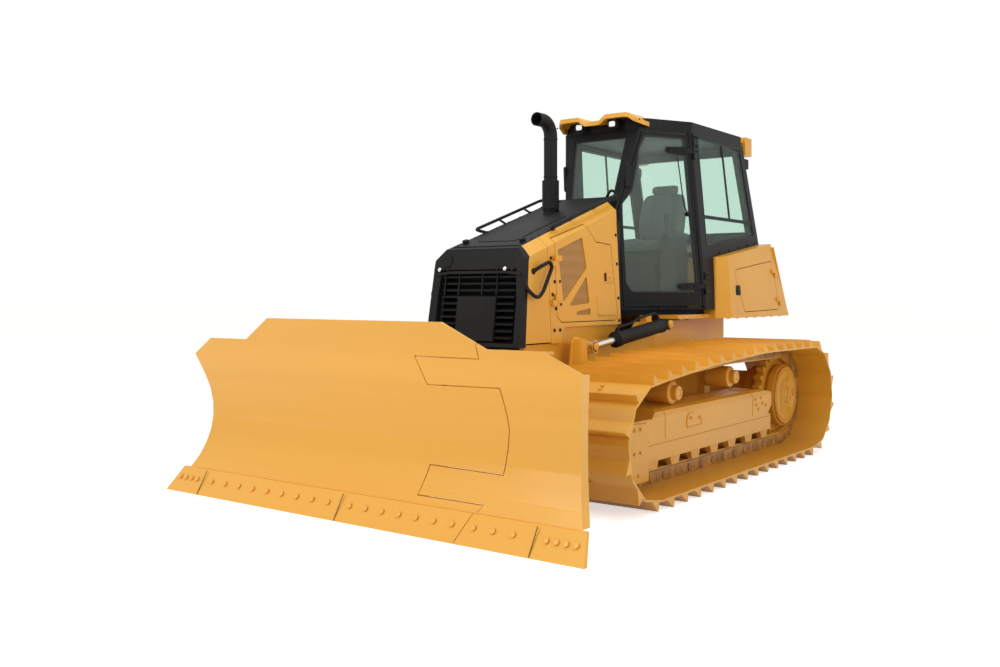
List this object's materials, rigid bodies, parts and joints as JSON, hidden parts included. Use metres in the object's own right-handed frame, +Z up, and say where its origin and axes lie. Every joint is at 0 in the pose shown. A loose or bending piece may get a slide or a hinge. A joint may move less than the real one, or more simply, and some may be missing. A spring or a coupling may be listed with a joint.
{
  "type": "bulldozer",
  "caption": "Crawler dozer with wide low-pressure tracks, folding-end power-angle-tilt blade on a lift frame, glazed cab, hinged engine and cab doors",
  "frame": {"origin": "middle of the overall footprint, on the ground under the track lugs", "axes": "+X forward, toward the blade; +Y to the machine's left; +Z up"},
  "size_m": [5.14, 3.366, 2.767],
  "materials": {
    "yellow_paint": "satin",
    "black_paint": "satin",
    "cab_black": "satin",
    "window_glass": "clear",
    "dark_plastic": "matte",
    "seat_cloth": "woven",
    "yellow_casting": "dull enamel over castings",
    "cast_block": "dull",
    "rod_chrome": "polished"
  },
  "bodies": {
    "machine": {"track_left": "yellow_casting", "track_right": "yellow_casting", "idlers": "yellow_casting", "sprockets": "yellow_casting", "bottom_rollers": "yellow_casting", "carrier_rollers": "yellow_casting", "track_frame_left": "yellow_paint", "track_frame_right": "yellow_paint", "main_frame": "yellow_paint", "engine_block": "cast_block", "cross_shafts": "yellow_paint", "final_drives": "yellow_paint", "drawbar": "yellow_paint", "nose_guard": "black_paint", "grille": "black_paint", "nose_sides": "yellow_paint", "hood": "black_paint", "firewall": "black_paint", "side_panels": "yellow_paint", "exhaust_stack": "black_paint", "hood_rails": "black_paint", "grab_handles": "black_paint", "cab_frame": "cab_black", "cab_glass": "window_glass", "cab_floor": "cab_black", "cab_roof": "black_paint", "cab_shelf": "black_paint", "seat": "seat_cloth", "consoles": "dark_plastic", "dashboard": "dark_plastic", "fuel_tank": "yellow_paint", "rear_guard": "yellow_paint", "visor": "yellow_paint", "front_lamps": "dark_plastic", "rear_lamps": "yellow_paint"},
    "c_frame": {"c_frame": "yellow_paint"},
    "angle_head": {"angle_head": "yellow_paint"},
    "blade": {"blade": "yellow_paint", "cutting_edge": "yellow_paint"},
    "wing": {"blade_wing": "yellow_paint", "wing_edge": "yellow_paint"},
    "cab_door_left": {"cab_door_left": "cab_black", "door_glass_left": "window_glass"},
    "cab_door_right": {"cab_door_right": "cab_black", "door_glass_right": "window_glass"},
    "engine_door_left": {"engine_door_left": "yellow_paint"},
    "engine_door_right": {"engine_door_right": "yellow_paint"},
    "tank_door": {"tank_door": "yellow_paint"},
    "lift_barrel_left": {"lift_barrel_left": "black_paint"},
    "lift_rod_left": {"lift_rod_left": "rod_chrome"},
    "angle_barrel_left": {"angle_barrel_left": "black_paint"},
    "angle_rod_left": {"angle_rod_left": "rod_chrome"},
    "lift_barrel_right": {"lift_barrel_right": "black_paint"},
    "lift_rod_right": {"lift_rod_right": "rod_chrome"},
    "angle_barrel_right": {"angle_barrel_right": "black_paint"},
    "angle_rod_right": {"angle_rod_right": "rod_chrome"},
    "tilt_barrel": {"tilt_barrel": "black_paint"},
    "tilt_rod": {"tilt_rod": "rod_chrome"}
  },
  "joints": [
    {"name": "lift", "type": "hinge", "parent": "machine", "child": "c_frame", "pos_m": [-0.4005, 0, 0.62], "axis": [0, -1, 0], "range_deg": [-11, 17]},
    {"name": "blade_angle", "type": "hinge", "parent": "c_frame", "child": "angle_head", "pos_m": [2.0645, 0, 0.45], "axis": [0, 0, -1], "range_deg": [-23, 23]},
    {"name": "blade_tilt", "type": "hinge", "parent": "angle_head", "child": "blade", "pos_m": [2.2275, 0, 0.45], "axis": [1, 0, 0], "range_deg": [-8, 8]},
    {"name": "wing_fold", "type": "hinge", "parent": "blade", "child": "wing", "pos_m": [2.2335, 1.075, 0.6], "axis": [0, 0, 1], "range_deg": [0, 90]},
    {"name": "lift_barrel_left_swing", "type": "hinge", "parent": "machine", "child": "lift_barrel_left", "pos_m": [-0.4405, 0.548, 1.09], "axis": [0, -1, 0], "range_deg": [-10.6, 16.38]},
    {"name": "lift_rod_left_slide", "type": "slide", "parent": "lift_barrel_left", "child": "lift_rod_left", "axis": [0.9932, 0, -0.1163], "range_m": [-0.1409, 0.0911]},
    {"name": "angle_barrel_left_swing", "type": "hinge", "parent": "c_frame", "child": "angle_barrel_left", "pos_m": [1.4945, 0.205, 0.615], "axis": [0, 0, -1], "range_deg": [-6.39, 6.39]},
    {"name": "angle_rod_left_slide", "type": "slide", "parent": "angle_barrel_left", "child": "angle_rod_left", "axis": [0.9448, 0.3276, 0], "range_m": [-0.1547, 0.1547]},
    {"name": "lift_barrel_right_swing", "type": "hinge", "parent": "machine", "child": "lift_barrel_right", "pos_m": [-0.4405, -0.548, 1.09], "axis": [0, -1, 0], "range_deg": [-10.6, 16.38]},
    {"name": "lift_rod_right_slide", "type": "slide", "parent": "lift_barrel_right", "child": "lift_rod_right", "axis": [0.9932, 0, -0.1163], "range_m": [-0.1409, 0.0911]},
    {"name": "angle_barrel_right_swing", "type": "hinge", "parent": "c_frame", "child": "angle_barrel_right", "pos_m": [1.4945, -0.205, 0.615], "axis": [0, 0, -1], "range_deg": [-6.39, 6.39]},
    {"name": "angle_rod_right_slide", "type": "slide", "parent": "angle_barrel_right", "child": "angle_rod_right", "axis": [0.9448, -0.3276, 0], "range_m": [-0.1547, 0.1547]},
    {"name": "tilt_barrel_swing", "type": "hinge", "parent": "angle_head", "child": "tilt_barrel", "pos_m": [2.1455, 0.4, 0.8], "axis": [1, 0, 0], "range_deg": [-3.06, 3.06]},
    {"name": "tilt_rod_slide", "type": "slide", "parent": "tilt_barrel", "child": "tilt_rod", "axis": [0, -1, 0], "range_m": [-0.0498, 0.0498]},
    {"name": "cab_door_left_swing", "type": "hinge", "parent": "machine", "child": "cab_door_left", "pos_m": [-0.90917, 0.62853, 1.8], "axis": [0.1257, -0.0349, 0.9915], "range_deg": [0, 95]},
    {"name": "engine_door_left_swing", "type": "hinge", "parent": "machine", "child": "engine_door_left", "pos_m": [0.9295, 0.424, 1.5], "axis": [0, 0, -1], "range_deg": [0, 110]},
    {"name": "cab_door_right_swing", "type": "hinge", "parent": "machine", "child": "cab_door_right", "pos_m": [-0.90917, -0.62853, 1.8], "axis": [-0.1257, -0.0349, -0.9915], "range_deg": [0, 95]},
    {"name": "engine_door_right_swing", "type": "hinge", "parent": "machine", "child": "engine_door_right", "pos_m": [0.9295, -0.424, 1.5], "axis": [0, 0, 1], "range_deg": [0, 110]},
    {"name": "tank_door_swing", "type": "hinge", "parent": "machine", "child": "tank_door", "pos_m": [-2.3305, 0.7605, 1.19], "axis": [0.3427, -0.0469, 0.9383], "range_deg": [0, 110]}
  ],
  "couplings": [
    {"joint": "lift_barrel_left_swing", "follows": "lift", "ratio": 0.94454},
    {"joint": "lift_rod_left_slide", "follows": "lift", "m_per_rad": -0.46541},
    {"joint": "angle_barrel_left_swing", "follows": "blade_angle", "ratio": 0.2725},
    {"joint": "angle_rod_left_slide", "follows": "blade_angle", "m_per_rad": 0.37792},
    {"joint": "lift_barrel_right_swing", "follows": "lift", "ratio": 0.94454},
    {"joint": "lift_rod_right_slide", "follows": "lift", "m_per_rad": -0.46541},
    {"joint": "angle_barrel_right_swing", "follows": "blade_angle", "ratio": 0.2725},
    {"joint": "angle_rod_right_slide", "follows": "blade_angle", "m_per_rad": -0.37792},
    {"joint": "tilt_barrel_swing", "follows": "blade_tilt", "ratio": 0.37443},
    {"joint": "tilt_rod_slide", "follows": "blade_tilt", "m_per_rad": 0.34979}
  ]
}
